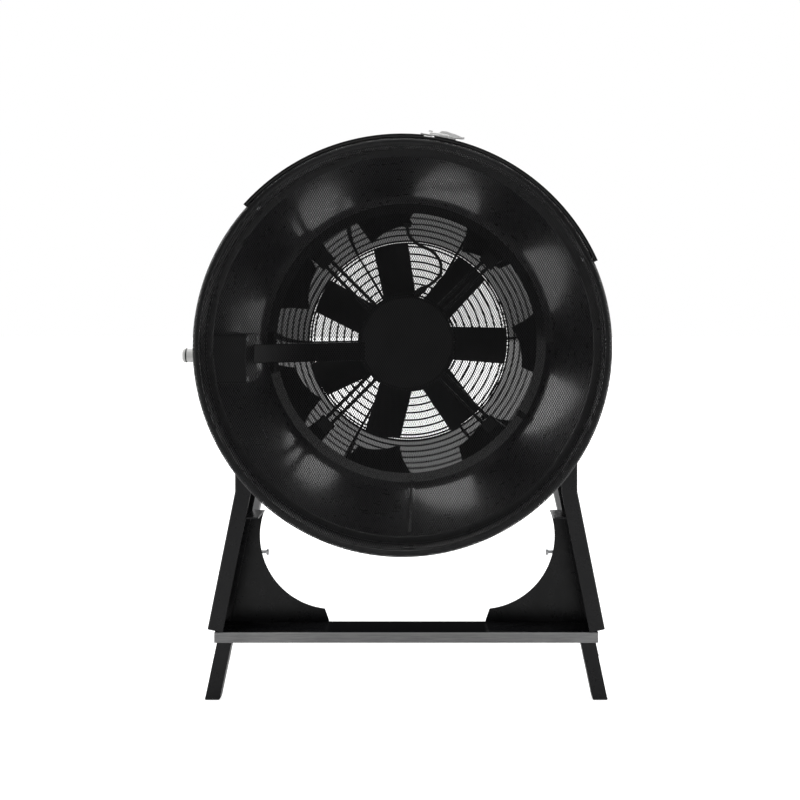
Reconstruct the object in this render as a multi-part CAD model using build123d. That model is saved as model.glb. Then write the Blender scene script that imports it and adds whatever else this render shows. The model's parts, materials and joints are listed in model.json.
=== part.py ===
from build123d import *
import os
from math import atan2, cos, pi, radians, sin, sqrt, tan

# An axial air mover: a flared steel drum with a netted mouth, tilting between the posts of a floor stand.
# Millimetres. X is to the right, -Y is the way the netted mouth faces, +Z is up, the floor is z = 0.
# The fan axis runs along Y at height AXIS_Z, and the drum tilts about the X line through y = 0
# at that height.

# ---- driving dimensions ----
AXIS_Z = 585.0
SHEET = 1.5
RUNNING_GAP = 0.05
BODY_GAP = 0.3

# drum
MOUTH_FRONT_Y = -260.0
MOUTH_R = 293.5
RIM_ROLL_R = 4.75
RIM_ROLL_AT = (298.2, -255.2)
BEAD_Y = -215.0
SHOULDER_Y = -205.0
CONE_TOP_R = 284.0
JOINT_Y = 10.0
JOINT_R = 232.0
JOINT_FLANGE_R = 247.5
JOINT_BOLT_R = 241.5
JOINT_BOLTS = 12
JOINT_ANGLES = [15 + i * 360 / JOINT_BOLTS for i in range(JOINT_BOLTS)]
DUCT_R = 216.6
THROAT_Y = 145.0
THROAT_R = 177.5
DUCT_END_Y = 172.0
DUCT_LIP_R = 200.0
SEAM_ANGLE = -88.0

# net over the mouth
NET_T = 1.2
NET_FRONT_Y = -262.2
NET_DISC_R = 296.3
NET_OUTER_R = 305.8
HEM_R = 298.8
HEM_Y = -227.5
HEM_CORD_R = 2.4

# strap and latch on top of the mouth
STRAP_R = 308.6
STRAP_T = 1.8
STRAP_W = 18.0
STRAP_MID_Y = -249.0
STRAP_LEFT = (84.2, 138.0)
STRAP_RIGHT = (24.0, 81.4)
STRAP_RIVET_ANGLES = (STRAP_RIGHT[0] + 2, STRAP_LEFT[1] - 2)
STRAP_RIVET_Y = -243.0
LATCH_ANGLE = 80.0
LATCH_ORIGIN_R = STRAP_R + STRAP_T
LATCH_PIVOT = (3.0, 5.5)
LATCH_LINK_PIVOT = (12.0, 3.6)
LATCH_BAR_S = -14.0
LATCH_WIRE_R = 1.4

# junction box, gland and feed arm on the left
BOX_Y = (-202.0, -90.0)
BOX_Z = (529.0, 603.0)
BOX_LID_X = -238.0
BOX_WALL = 2.5
LID_T = 3.0
LID_SCREWS = [(y, z) for y in (BOX_Y[0] + 7, BOX_Y[1] - 7) for z in (BOX_Z[0] + 7, BOX_Z[1] - 7)]
GLAND_Y = -184.0
GLAND_Z = 571.0
GLAND_END_X = -333.0
GLAND_CAP_X = -308.0
GLAND_RING_X = -306.0
GLAND_BOSS_X = (-288.0, -274.0)
GLAND_BOSS_R = 14.0
GLAND_THREAD_R = 8.0
GLAND_BORE_R = 4.0
ARM_START = (-232.0, -112.0, 571.0)
ARM_END = (-60.0, 36.0, 571.0)
ARM_HEIGHT = 30.0
ARM_DEPTH = 14.0

# motor, its lead and the impeller
MOTOR_R = 80.0
MOTOR_FRONT_Y = 18.0
MOTOR_BACK_Y = 94.0
SHAFT_R = 7.5
BEARING_R = 17.5
ARM_Y = 55.0
ARM_ANGLES = (45, 135, 225, 315)
ARM_ROD_R = 3.0
ARM_ROD_SPACING = 13.0
WALL_BRACKET_R = 186.0
LEAD_R = 2.7
LEAD_ROUTE = [
    (0, 62, 222),
    (0, 62, 183),
    (20, 58, 165),
    (43, 54, 156),
    (57, 48, 138),
    (58, 44, 116),
    (45, 40, 102),
    (27.6, 38, 90.3),
]
GROMMET_Y = 62.0
CAP_BOX = (-34.0, 34.0, 28.0, 104.0, 770.0, 832.0)
BLADES = 7
BLADE_FIRST_ANGLE = 49.0
BLADE_ANGLES = [BLADE_FIRST_ANGLE + i * 360 / BLADES for i in range(BLADES)]
BLADE_Y = 122.0
BLADE_TIP_R = 172.0
BLADE_ROOT_R = 50.0
BLADE_CHORD_ROOT = 63.0
BLADE_CHORD_TIP = 71.0
BLADE_PITCH = 30.0
BLADE_T = 2.5
BLADE_CAMBER = 5.0
HUB_R = 60.0
HUB_Y = (104.0, 140.0)

# rear guard
GUARD_Y = 175.0
GUARD_WIRE_R = 1.6
GUARD_PITCH = 13.2
GUARD_RINGS = 12
GUARD_OUTER_R = 182.5
GUARD_SPOKES = 6
GUARD_DISC_R = 38.5
GUARD_SCREW_R = 194.5
GUARD_SCREW_ANGLES = [30 + i * 60 for i in range(6)]

# stand
POST_X = 281.0
POST_FLANGE = 26.0
POST_T = 2.5
POST_FRONT_Y = -25.0
POST_BACK_Y = 52.0
POST_TOP_Z = 625.0
POST_BEND_Z = 342.0
POST_LEAN = 0.2
LEAN_LENGTH = sqrt(1 + POST_LEAN**2)
TRAY_TOP_Z = 111.5
TRAY_HALF = 314.6
TRAY_LIP = 17.0
GUSSET_ARC = (126.0, 256.0, 124.5)
GUSSET_TOP_Z = 300.0
FRONT_LEG_W = 24.3
FRONT_LEG_D = 25.0
FRONT_LEG_LEAN = 0.211
FRONT_LEG_OUTER_X = 330.6
REAR_LEG_W = 14.0
REAR_LEG_D = 25.0
REAR_FOOT = (343.0, 249.2)
REAR_BEND = (257.3, 123.0, 342.0)
REAR_TOP = (266.0, 52.0, 615.0)
LEG_TOP_Z = 618.0
LEG_BOLTS = [(267.4, 606.0), (266.2, 586.0)]
FOOT_T = 3.0
STUD_Y = 57.7
STUD_Z = 228.0
STUD_HEAD_X = 236.0

# tilt pivot
PIVOT_R = 6.0
PIVOT_PLATE_X = 249.5

CONE_SLOPE = (CONE_TOP_R - JOINT_R) / (JOINT_Y - SHOULDER_Y)
DUCT_SLOPE = (DUCT_R - THROAT_R) / (THROAT_Y - JOINT_Y)
CONE_WALL = SHEET * sqrt(1 + CONE_SLOPE**2)
DUCT_WALL = SHEET * sqrt(1 + DUCT_SLOPE**2)


# ---- helpers ----
def outline(*points):
    return make_face(Polyline(*points, close=True))


def turned(*points):
    """A ring or disc about the fan axis, from (radius, y) points."""
    return Pos(0, 0, AXIS_Z) * revolve(outline(*points), Axis.Y, 360)


def tube_y(outer, inner, y0, y1):
    return turned((inner, y0), (outer, y0), (outer, y1), (inner, y1))


def torus_y(radius, wire, y):
    face = Pos(radius, y) * Circle(wire)
    return Pos(0, 0, AXIS_Z) * revolve(face, Axis.Y, 360)


def front_view(face, y0, y1):
    """A face drawn as (x, z) in front view, made into a plate from y0 back to y1."""
    return extrude(Plane.XZ.offset(-y0) * face, amount=y1 - y0, dir=(0, 1, 0))


def block(x0, x1, y0, y1, z0, z1):
    return Pos((x0 + x1) / 2, (y0 + y1) / 2, (z0 + z1) / 2) * Box(x1 - x0, y1 - y0, z1 - z0)


def rod(start, end, radius):
    start, end = Vector(*start), Vector(*end)
    run = end - start
    return extrude(Plane(origin=start, z_dir=run) * Circle(radius), amount=run.length)


def rod_x(x0, x1, y, z, radius):
    return rod((x0, y, z), (x1, y, z), radius)


def rod_y(x, z, y0, y1, radius):
    return rod((x, y0, z), (x, y1, z), radius)


def hexagon_y(x, z, y0, y1, across):
    return front_view(Pos(x, z) * RegularPolygon(across / 2, 6, major_radius=False), y0, y1)


def hexagon_x(x0, x1, y, z, across):
    face = Plane(origin=(x0, y, z), z_dir=(1, 0, 0)) * RegularPolygon(across / 2, 6, major_radius=False)
    return extrude(face, amount=x1 - x0, dir=(1, 0, 0))


def about_axis(shape, angle):
    """Turns a shape about the fan axis, counterclockwise in front view."""
    return Pos(0, 0, AXIS_Z) * Rot(0, -angle, 0) * Pos(0, 0, -AXIS_Z) * shape


def polar(radius, angle):
    """(x, z) of a point at this radius and angle about the fan axis."""
    return radius * cos(radians(angle)), AXIS_Z + radius * sin(radians(angle))


def group(solids):
    """Several separate solids in one node."""
    return Compound(children=[Solid(s.solids()[0].wrapped) for s in solids])


def to_left(shape):
    return mirror(shape, about=Plane.YZ)


def cone_r(y):
    """Inner radius of the flared cone."""
    return CONE_TOP_R - (y - SHOULDER_Y) * CONE_SLOPE


def duct_r(y):
    """Inner radius of the tapered duct."""
    return DUCT_R - (y - JOINT_Y) * DUCT_SLOPE


def cone_filled(y0, y1):
    """Everything inside the outer surface of the cone."""
    wall = CONE_WALL + 0.02
    return turned((0, y0), (cone_r(y0) + wall, y0), (cone_r(y1) + wall, y1), (0, y1))


def duct_filled(y0, y1):
    """Everything inside the outer surface of the duct."""
    return turned((0, y0), (duct_r(y0) + DUCT_WALL, y0), (duct_r(y1) + DUCT_WALL, y1), (0, y1))


# ---- drum shells ----


def joint_holes():
    return [rod_y(*polar(JOINT_BOLT_R, a), JOINT_Y - 4, JOINT_Y + 4, 2.6) for a in JOINT_ANGLES]


def cone_profile():
    """Half section of the sheet: collar, shoulder, flared cone and joint flange."""
    flange_y = JOINT_Y - SHEET
    behind_y = SHOULDER_Y + SHEET
    return outline(
        (MOUTH_R, RIM_ROLL_AT[1]),
        (MOUTH_R, SHOULDER_Y),
        (CONE_TOP_R, SHOULDER_Y),
        (JOINT_R, JOINT_Y),
        (JOINT_FLANGE_R, JOINT_Y),
        (JOINT_FLANGE_R, flange_y),
        (cone_r(flange_y) + CONE_WALL, flange_y),
        (cone_r(behind_y) + CONE_WALL, behind_y),
        (MOUTH_R + SHEET, behind_y),
        (MOUTH_R + SHEET, RIM_ROLL_AT[1]),
    )


def lap_seam(*points):
    """Raised edge of the lapped joint in the rolled sheet."""
    width = 3.2
    seam = Rot(0, -SEAM_ANGLE - width / 2, 0) * revolve(outline(*points), Axis.Y, width)
    return Pos(0, 0, AXIS_Z) * seam


def front_cone():
    """Collar with rolled rim and stiffening bead, flared cone, joint flange and lapped seam, in one sheet."""
    sheet = cone_profile()
    fold = sheet.vertices().sort_by_distance((CONE_TOP_R, SHOULDER_Y, 0))[0]
    sheet = fillet(fold, 1.4)
    bead_at = Pos(MOUTH_R + 0.7, BEAD_Y)
    bore = Pos(MOUTH_R - 20, BEAD_Y) * Rectangle(40, 30)
    bead = bead_at * Circle(5) - bead_at * Circle(3.5) - bore
    groove = bead_at * Circle(3.5) - Pos(MOUTH_R + 30, BEAD_Y) * Rectangle(50, 30)
    profile = sheet - bead_at * Circle(3.5) + bead - groove
    profile = profile + Pos(*RIM_ROLL_AT) * Circle(RIM_ROLL_R)
    shell = Pos(0, 0, AXIS_Z) * revolve(profile, Axis.Y, 360)
    lap = 1.2
    front_y = SHOULDER_Y + 0.5
    shell = shell + lap_seam(
        (cone_r(front_y) + 0.5, front_y),
        (cone_r(4) + 0.5, 4),
        (cone_r(4) - lap, 4),
        (cone_r(front_y) - lap, front_y),
    )
    shell = shell + lap_seam(
        (MOUTH_R + 0.5, BEAD_Y - 6),
        (MOUTH_R + 0.5, MOUTH_FRONT_Y + 8),
        (MOUTH_R - lap, MOUTH_FRONT_Y + 8),
        (MOUTH_R - lap, BEAD_Y - 6),
    )
    shell = shell + rod_x(*GLAND_BOSS_X, GLAND_Y, GLAND_Z, GLAND_BOSS_R)
    shell = shell - joint_holes() - rod_x(-300, -260, GLAND_Y, GLAND_Z, GLAND_THREAD_R + 0.1)
    for angle in STRAP_RIVET_ANGLES:
        x, z = polar(1, angle)
        toward = (x, 0, z - AXIS_Z)
        start = Vector(0, STRAP_RIVET_Y, AXIS_Z) + Vector(*toward) * (MOUTH_R - 5)
        hole = Plane(origin=start, z_dir=toward) * Circle(2.1)
        shell = shell - extrude(hole, amount=12)
    return shell


def rear_duct():
    """Joint flange, tapered duct, throat and rear lip in one sheet, with a hole for the motor lead."""
    lip_y = DUCT_END_Y - SHEET
    shell = turned(
        (DUCT_R, JOINT_Y),
        (JOINT_FLANGE_R, JOINT_Y),
        (JOINT_FLANGE_R, JOINT_Y + SHEET),
        (duct_r(JOINT_Y + SHEET) + DUCT_WALL, JOINT_Y + SHEET),
        (THROAT_R + SHEET, THROAT_Y + 0.2),
        (THROAT_R + SHEET, lip_y),
        (DUCT_LIP_R, lip_y),
        (DUCT_LIP_R, DUCT_END_Y),
        (THROAT_R, DUCT_END_Y),
        (THROAT_R, THROAT_Y),
    )
    lead_hole = rod((0, GROMMET_Y, AXIS_Z + 190), (0, GROMMET_Y, AXIS_Z + 220), 7)
    return shell - joint_holes() - lead_hole - guard_screw_holes()


def joint_bolts():
    """Hexagon-head bolts of the joint flange, heads to the front."""
    made = []
    for angle in JOINT_ANGLES:
        x, z = polar(JOINT_BOLT_R, angle)
        head = hexagon_y(x, z, JOINT_Y - SHEET - 3.3, JOINT_Y - SHEET, 8)
        made.append(head + rod_y(x, z, JOINT_Y - SHEET, JOINT_Y + 8, 2.5))
    return group(made)


def joint_nuts():
    made = []
    for angle in JOINT_ANGLES:
        x, z = polar(JOINT_BOLT_R, angle)
        nut = hexagon_y(x, z, JOINT_Y + SHEET, JOINT_Y + SHEET + 4, 8)
        made.append(nut - rod_y(x, z, JOINT_Y, JOINT_Y + 8, 2.5 + RUNNING_GAP))
    return group(made)


# ---- net, strap and latch ----
def front_net():
    """The flat panel of the net across the mouth."""
    return turned((0, NET_FRONT_Y), (NET_DISC_R, NET_FRONT_Y), (NET_DISC_R, NET_FRONT_Y + NET_T),
                  (0, NET_FRONT_Y + NET_T))


def net_skirt():
    """The edge of the net, turned over the rolled rim and drawn in behind it."""
    skirt = turned(
        (NET_DISC_R + 0.1, NET_FRONT_Y),
        (301.0, NET_FRONT_Y),
        (NET_OUTER_R, -257.5),
        (NET_OUTER_R, -238.0),
        (302.6, -225.5),
        (301.5, -225.8),
        (NET_OUTER_R - 1.1, -238.3),
        (NET_OUTER_R - 1.1, -257.0),
        (300.5, NET_FRONT_Y + 1.1),
        (NET_DISC_R + 0.1, NET_FRONT_Y + 1.1),
    )
    for angle in STRAP_RIVET_ANGLES:
        x, z = polar(1, angle)
        toward = (x, 0, z - AXIS_Z)
        start = Vector(0, STRAP_RIVET_Y, AXIS_Z) + Vector(*toward) * 296
        skirt = skirt - extrude(Plane(origin=start, z_dir=toward) * Circle(5.4), amount=16)
    return skirt


def hem_cord():
    """The drawcord in the hem of the net, which grips the collar behind the rim."""
    return torus_y(HEM_R, HEM_CORD_R, HEM_Y)


def strap(start, stop):
    """A stretch of the flat strap that lies over the net on top of the rim."""
    profile = outline(
        (STRAP_R, STRAP_MID_Y - STRAP_W / 2),
        (STRAP_R + STRAP_T, STRAP_MID_Y - STRAP_W / 2),
        (STRAP_R + STRAP_T, STRAP_MID_Y + STRAP_W / 2),
        (STRAP_R, STRAP_MID_Y + STRAP_W / 2),
    )
    made = Rot(0, -stop, 0) * revolve(profile, Axis.Y, stop - start)
    made = Pos(0, 0, AXIS_Z) * made
    for angle in STRAP_RIVET_ANGLES:
        if start < angle < stop:
            x, z = polar(1, angle)
            toward = (x, 0, z - AXIS_Z)
            at = Vector(0, STRAP_RIVET_Y, AXIS_Z) + Vector(*toward) * (STRAP_R - 4)
            made = made - extrude(Plane(origin=at, z_dir=toward) * Circle(2.1), amount=12)
    return made


def strap_rivets():
    """A rivet through each outer end of the strap into the collar."""
    made = []
    for angle in STRAP_RIVET_ANGLES:
        x, z = polar(1, angle)
        toward = Vector(x, 0, z - AXIS_Z)
        centre = Vector(0, STRAP_RIVET_Y, AXIS_Z)
        head_at = Plane(origin=centre + toward * (STRAP_R + STRAP_T + 0.05), z_dir=toward)
        tail_at = Plane(origin=centre + toward * (MOUTH_R - 1.6), z_dir=toward)
        shank_at = Plane(origin=centre + toward * (MOUTH_R - 0.5), z_dir=toward)
        head = extrude(head_at * Circle(4), amount=1.6, taper=25)
        shank = extrude(shank_at * Circle(2), amount=STRAP_R + STRAP_T - MOUTH_R + 1)
        tail = extrude(tail_at * Circle(3.4), amount=1.4)
        made.append(head + shank + tail)
    return group(made)


def strap_spacers():
    """A sleeve on each rivet, between the collar and the strap."""
    made = []
    for angle in STRAP_RIVET_ANGLES:
        x, z = polar(1, angle)
        toward = Vector(x, 0, z - AXIS_Z)
        start = Vector(0, STRAP_RIVET_Y, AXIS_Z) + toward * (MOUTH_R + SHEET + 0.15)
        length = STRAP_R - MOUTH_R - SHEET - 0.25
        sleeve = Plane(origin=start, z_dir=toward) * (Circle(5) - Circle(2.1))
        made.append(extrude(sleeve, amount=length))
    return group(made)


def latch_plane():
    """At the latch: x runs along the strap to the right, y along the fan axis, z straight outward."""
    x, z = polar(LATCH_ORIGIN_R, LATCH_ANGLE)
    along = (sin(radians(LATCH_ANGLE)), 0, -cos(radians(LATCH_ANGLE)))
    outward = (cos(radians(LATCH_ANGLE)), 0, sin(radians(LATCH_ANGLE)))
    return Plane(origin=(x, STRAP_MID_Y, z), x_dir=along, z_dir=outward)


def on_latch(shape):
    return latch_plane().location * shape


def cross_pin(s, h, half_width, radius):
    return Pos(s, 0, h) * Rot(90, 0, 0) * Cylinder(radius, 2 * half_width)


def latch_base():
    """Plate on the right-hand strap with two ears for the lever pin."""
    plate = Pos(11.5, 0, 0.95) * Box(25, 13.6, 1.1)
    made = plate
    for side in (-1, 1):
        ear = Pos(3, side * 6.2, 4.6) * Box(8, 1.2, 7.4)
        made = made + fillet(ear.edges().filter_by(Axis.Y).group_by(Axis.Z)[-1], 3)
    return on_latch(made - cross_pin(*LATCH_PIVOT, 12, 1.6))


def latch_catch():
    """Hook on the end of the left-hand strap, open to the left."""
    plate = Pos(-19.5, 0, 0.75) * Box(17, 13.6, 0.9)
    post = Pos(-11.5, 0, 3.8) * Box(1.2, 9, 6.8)
    curl = Pos(-13.8, 0, 6.8) * Box(5.8, 9, 1.2)
    return on_latch(plate + post + curl)


def latch_pin():
    pin = cross_pin(*LATCH_PIVOT, 6.8, 1.6 - RUNNING_GAP)
    heads = [Pos(0, side * 7.2, 0) * cross_pin(*LATCH_PIVOT, 0.4, 2.4) for side in (-1, 1)]
    return on_latch(pin + heads)


def latch_lever():
    """Over-centre lever: a cam on the pin and a handle that lies along the strap."""
    arm = outline(
        (LATCH_PIVOT[0] - 1, 9.4),
        (9, 9.8),
        (22, 8.0),
        (33, 5.4),
        (36, 6.0),
        (36, 4.4),
        (33, 3.6),
        (20, 2.6),
        (9, 2.2),
        (LATCH_PIVOT[0], 1.9),
    )
    lever = front_view(arm, -5.2, 5.2)
    hollow = Pos(19, 0, -0.4) * Box(50, 8.0, 12.0)
    lever = lever - hollow + cross_pin(*LATCH_PIVOT, 5.2, 3.6)
    lever = lever - cross_pin(*LATCH_PIVOT, 12, 1.6)
    return on_latch(lever - cross_pin(*LATCH_LINK_PIVOT, 12, LATCH_WIRE_R + RUNNING_GAP))


def latch_link():
    """Wire loop from the lever to the hook."""
    pivot_s, height = LATCH_LINK_PIVOT
    width = 9.4
    loop = FilletPolyline(
        (pivot_s, -4, height),
        (pivot_s, -width, height),
        (LATCH_BAR_S, -width, height),
        (LATCH_BAR_S, width, height),
        (pivot_s, width, height),
        (pivot_s, 4, height),
        radius=2.2,
    )
    start = Plane(origin=loop @ 0, z_dir=loop % 0)
    wire = sweep(start * Circle(LATCH_WIRE_R), path=loop)
    return on_latch(wire + cross_pin(pivot_s, height, 4.6, LATCH_WIRE_R))


# ---- junction box, gland, feed arm ----


def cone_clear(gap):
    """The clear space inside the cone, drawn in by a gap."""
    return turned(
        (0, SHOULDER_Y),
        (CONE_TOP_R - gap, SHOULDER_Y),
        (cone_r(0) - gap, 0),
        (0, 0),
    )


def junction_box():
    """Housing on the left wall of the cone, open to its lid."""
    outer = block(-300, BOX_LID_X, *BOX_Y, *BOX_Z)
    outer = fillet(outer.edges().filter_by(Axis.X), 5) & cone_clear(0)
    inner = block(-300, BOX_LID_X, BOX_Y[0] + BOX_WALL, BOX_Y[1] - BOX_WALL, BOX_Z[0] + BOX_WALL,
                  BOX_Z[1] - BOX_WALL)
    back = cone_clear(BOX_WALL)
    made = outer - (inner & back)
    for y, z in LID_SCREWS:
        boss = rod_x(BOX_LID_X - 16, BOX_LID_X, y, z, 5.5) & outer
        made = made + boss - rod_x(BOX_LID_X - 12, BOX_LID_X, y, z, 1.95)
    return made - rod_x(-300, -265, GLAND_Y, GLAND_Z, GLAND_BOSS_R + 0.1)


def junction_lid():
    lid = block(BOX_LID_X, BOX_LID_X + LID_T, *BOX_Y, *BOX_Z)
    lid = fillet(lid.edges().filter_by(Axis.X), 5)
    lid = chamfer(lid.faces().sort_by(Axis.X)[-1].edges(), 1)
    for y, z in LID_SCREWS:
        lid = lid - rod_x(BOX_LID_X - 1, BOX_LID_X + LID_T + 1, y, z, 2.1)
    return lid


def lid_screws():
    made = []
    for y, z in LID_SCREWS:
        head = rod_x(BOX_LID_X + LID_T, BOX_LID_X + LID_T + 2.4, y, z, 3.6)
        slot = block(BOX_LID_X + LID_T + 1.2, BOX_LID_X + LID_T + 3, y - 4, y + 4, z - 0.5, z + 0.5)
        shank = rod_x(BOX_LID_X - 9, BOX_LID_X + LID_T, y, z, 1.9)
        made.append(head - slot + shank)
    return group(made)


def terminal_block():
    """Insulated terminal strip standing on the sloped floor of the junction box."""
    strip = block(-280, -244, -166, -116, 555, 577) & cone_clear(BOX_WALL)
    for i in range(3):
        strip = strip - rod_x(-250, -240, -157 + i * 16, 566, 3)
    return strip


def gland_body():
    """Threaded gland body through the boss of the cone."""
    thread = rod_x(GLAND_CAP_X, -266, GLAND_Y, GLAND_Z, GLAND_THREAD_R)
    flats = hexagon_x(GLAND_RING_X, GLAND_BOSS_X[0] - 0.05, GLAND_Y, GLAND_Z, 20)
    ring = rod_x(GLAND_CAP_X, GLAND_RING_X, GLAND_Y, GLAND_Z, 9.2)
    return thread + flats + ring - rod_x(-315, -260, GLAND_Y, GLAND_Z, GLAND_BORE_R + 0.4)


def gland_cap():
    """Clamping cap of the gland, with the bore that a supply cord would go through."""
    cap = rod_x(GLAND_END_X, GLAND_CAP_X, GLAND_Y, GLAND_Z, 10.4)
    cap = chamfer(cap.edges().group_by(Axis.X)[0], 2)
    return cap - rod_x(-340, -300, GLAND_Y, GLAND_Z, GLAND_BORE_R)


def gland_nut():
    nut = hexagon_x(GLAND_BOSS_X[1] + 0.05, GLAND_BOSS_X[1] + 5, GLAND_Y, GLAND_Z, 22)
    return nut - rod_x(-280, -260, GLAND_Y, GLAND_Z, GLAND_THREAD_R + RUNNING_GAP)


def arm_beam(height, depth):
    start, end = Vector(*ARM_START), Vector(*ARM_END)
    run = (end - start).normalized()
    plane = Plane(origin=start - run * 20, x_dir=(0, 0, 1), z_dir=run)
    return extrude(plane * RectangleRounded(height, depth, 2), amount=(end - start).length + 20)


def feed_arm():
    """Rectangular conduit that carries the supply from the junction box to the motor."""
    shell = arm_beam(ARM_HEIGHT, ARM_DEPTH) - arm_beam(ARM_HEIGHT - 3, ARM_DEPTH - 3)
    shell = shell & block(BOX_LID_X + LID_T, 0, -300, 300, 500, 700)
    return shell - tube_y(MOTOR_R + 0.1, 0.001, MOTOR_FRONT_Y - 0.1, 120)


# ---- motor ----
def motor_housing():
    ribs = 28
    profile = Circle(MOTOR_R - 5)
    for i in range(ribs):
        profile = profile + Rot(0, 0, i * 360 / ribs) * Pos(MOTOR_R - 4, 0) * Rectangle(8, 3)
    profile = profile - Circle(MOTOR_R - 10)
    return front_view(Pos(0, AXIS_Z) * profile, MOTOR_FRONT_Y + 8, MOTOR_BACK_Y - 8)


def motor_front_cap():
    return turned(
        (0, MOTOR_FRONT_Y),
        (MOTOR_R - 5, MOTOR_FRONT_Y),
        (MOTOR_R - 1, MOTOR_FRONT_Y + 3),
        (MOTOR_R - 1, MOTOR_FRONT_Y + 8),
        (24, MOTOR_FRONT_Y + 8),
        (24, MOTOR_FRONT_Y + 15),
        (BEARING_R + 0.02, MOTOR_FRONT_Y + 15),
        (BEARING_R + 0.02, MOTOR_FRONT_Y + 4),
        (0, MOTOR_FRONT_Y + 4),
    )


def motor_rear_cap():
    return turned(
        (SHAFT_R + 1, MOTOR_BACK_Y),
        (MOTOR_R - 5, MOTOR_BACK_Y),
        (MOTOR_R - 1, MOTOR_BACK_Y - 3),
        (MOTOR_R - 1, MOTOR_BACK_Y - 8),
        (24, MOTOR_BACK_Y - 8),
        (24, MOTOR_BACK_Y - 15),
        (BEARING_R + 0.02, MOTOR_BACK_Y - 15),
        (BEARING_R + 0.02, MOTOR_BACK_Y - 4),
        (SHAFT_R + 1, MOTOR_BACK_Y - 4),
    )


def bearing(y0):
    return tube_y(BEARING_R, SHAFT_R + RUNNING_GAP, y0, y0 + 10)


def stator():
    return tube_y(MOTOR_R - 10.1, 42, MOTOR_FRONT_Y + 17, MOTOR_BACK_Y - 17)


def rotor_core():
    return tube_y(41.4, SHAFT_R + 0.01, MOTOR_FRONT_Y + 17, MOTOR_BACK_Y - 17)


def motor_shaft():
    return rod_y(0, AXIS_Z, MOTOR_FRONT_Y + 5.5, HUB_Y[1] + 13, SHAFT_R)


def motor_clamp():
    """Band round the motor that carries the mounting arms."""
    return tube_y(MOTOR_R + 3.2, MOTOR_R + 0.1, ARM_Y - 9, ARM_Y + 9)


def motor_arm(angle):
    """Two parallel rods from the motor clamp, welded into a block on the duct wall."""
    arm = block(WALL_BRACKET_R, DUCT_R + 5, ARM_Y - 12, ARM_Y + 12, AXIS_Z - 14, AXIS_Z + 14)
    arm = fillet(arm.edges().filter_by(Axis.X), 4)
    for side in (-1, 1):
        z = AXIS_Z + side * ARM_ROD_SPACING / 2
        arm = arm + rod((MOTOR_R, ARM_Y, z), (WALL_BRACKET_R + 2, ARM_Y, z), ARM_ROD_R)
    within = turned((0, 20), (duct_r(20) - 0.02, 20), (duct_r(90) - 0.02, 90), (0, 90))
    around = tube_y(MOTOR_R + 3.22, 0.001, ARM_Y - 20, ARM_Y + 20)
    return about_axis((arm & within) - around, angle)


# ---- motor lead and capacitor box ----


def lead_radii():
    """Each bend as large as its two runs allow."""
    points = [Vector(*p) for p in LEAD_ROUTE]
    radii = []
    for before, at, after in zip(points, points[1:], points[2:]):
        first, second = at - before, after - at
        half_turn = radians(first.get_angle(second)) / 2
        radii.append(0.45 * min(first.length, second.length) / tan(half_turn))
    return radii


def motor_lead():
    """The lead from the motor's gland up through the duct wall, in straight runs and tangent arcs."""
    radii = lead_radii()
    print("motor lead radii", [round(r, 1) for r in radii])
    points = [(x, y, AXIS_Z + z) for x, y, z in LEAD_ROUTE]
    path = FilletPolyline(*points, radius=radii)
    tube = sweep(Plane(origin=path @ 0, z_dir=path % 0) * Circle(LEAD_R), path=path)
    print("motor lead length", round(path.length, 1), "volume ratio",
          round(tube.volume / (pi * LEAD_R**2 * path.length), 4))
    return tube


def motor_gland():
    """Rubber entry on top of the motor for its lead."""
    (x1, y1, z1), (x0, y0, z0) = LEAD_ROUTE[-2], LEAD_ROUTE[-1]
    run = Vector(x0 - x1, y0 - y1, z0 - z1).normalized()
    end = Vector(x0, y0, AXIS_Z + z0)
    plane = Plane(origin=end - run * 4, z_dir=run)
    made = extrude(plane * Circle(4.6), amount=4)
    made = made + extrude(Plane(origin=end, z_dir=run) * Circle(6), amount=18)
    made = made - extrude(Plane(origin=end - run * 5, z_dir=run) * Circle(LEAD_R + 0.02), amount=5)
    return made - tube_y(MOTOR_R + 0.1, 0.001, MOTOR_FRONT_Y, MOTOR_BACK_Y)


def lead_grommet():
    """Rubber grommet where the lead passes through the duct wall."""
    sleeve = rod((0, GROMMET_Y, AXIS_Z + 196.5), (0, GROMMET_Y, AXIS_Z + 208), 6.95)
    return sleeve - rod((0, GROMMET_Y, AXIS_Z + 190), (0, GROMMET_Y, AXIS_Z + 225), LEAD_R + 0.02)


def capacitor_box():
    """Housing for the run capacitor, outside on top of the duct."""
    x0, x1, y0, y1, z0, z1 = CAP_BOX
    outer = block(x0, x1, y0, y1, z0, z1)
    outer = fillet(outer.edges().filter_by(Axis.Z), 6)
    inner = block(x0 + 2.5, x1 - 2.5, y0 + 2.5, y1 - 2.5, z0 - 1, z1 + 1)
    made = outer - inner
    for x, y in cap_screw_places():
        boss = rod((x, y, z1 - 14), (x, y, z1), 6) & outer
        made = made + boss - rod((x, y, z1 - 10), (x, y, z1), 1.95)
    return made - duct_filled(JOINT_Y + SHEET, THROAT_Y)


def capacitor_lid():
    x0, x1, y0, y1, _, z1 = CAP_BOX
    lid = block(x0, x1, y0, y1, z1, z1 + 3)
    lid = fillet(lid.edges().filter_by(Axis.Z), 6)
    lid = chamfer(lid.faces().sort_by(Axis.Z)[-1].edges(), 1)
    for x, y in cap_screw_places():
        lid = lid - rod((x, y, z1 - 1), (x, y, z1 + 4), 2.1)
    return lid


def cap_screw_places():
    x0, x1, y0, y1, _, _ = CAP_BOX
    return [(x, y) for x in (x0 + 8, x1 - 8) for y in (y0 + 8, y1 - 8)]


def capacitor_screws():
    z1 = CAP_BOX[5]
    made = []
    for x, y in cap_screw_places():
        head = rod((x, y, z1 + 3), (x, y, z1 + 5.2), 3.6)
        made.append(head + rod((x, y, z1 - 8), (x, y, z1 + 3), 1.9))
    return group(made)


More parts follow.
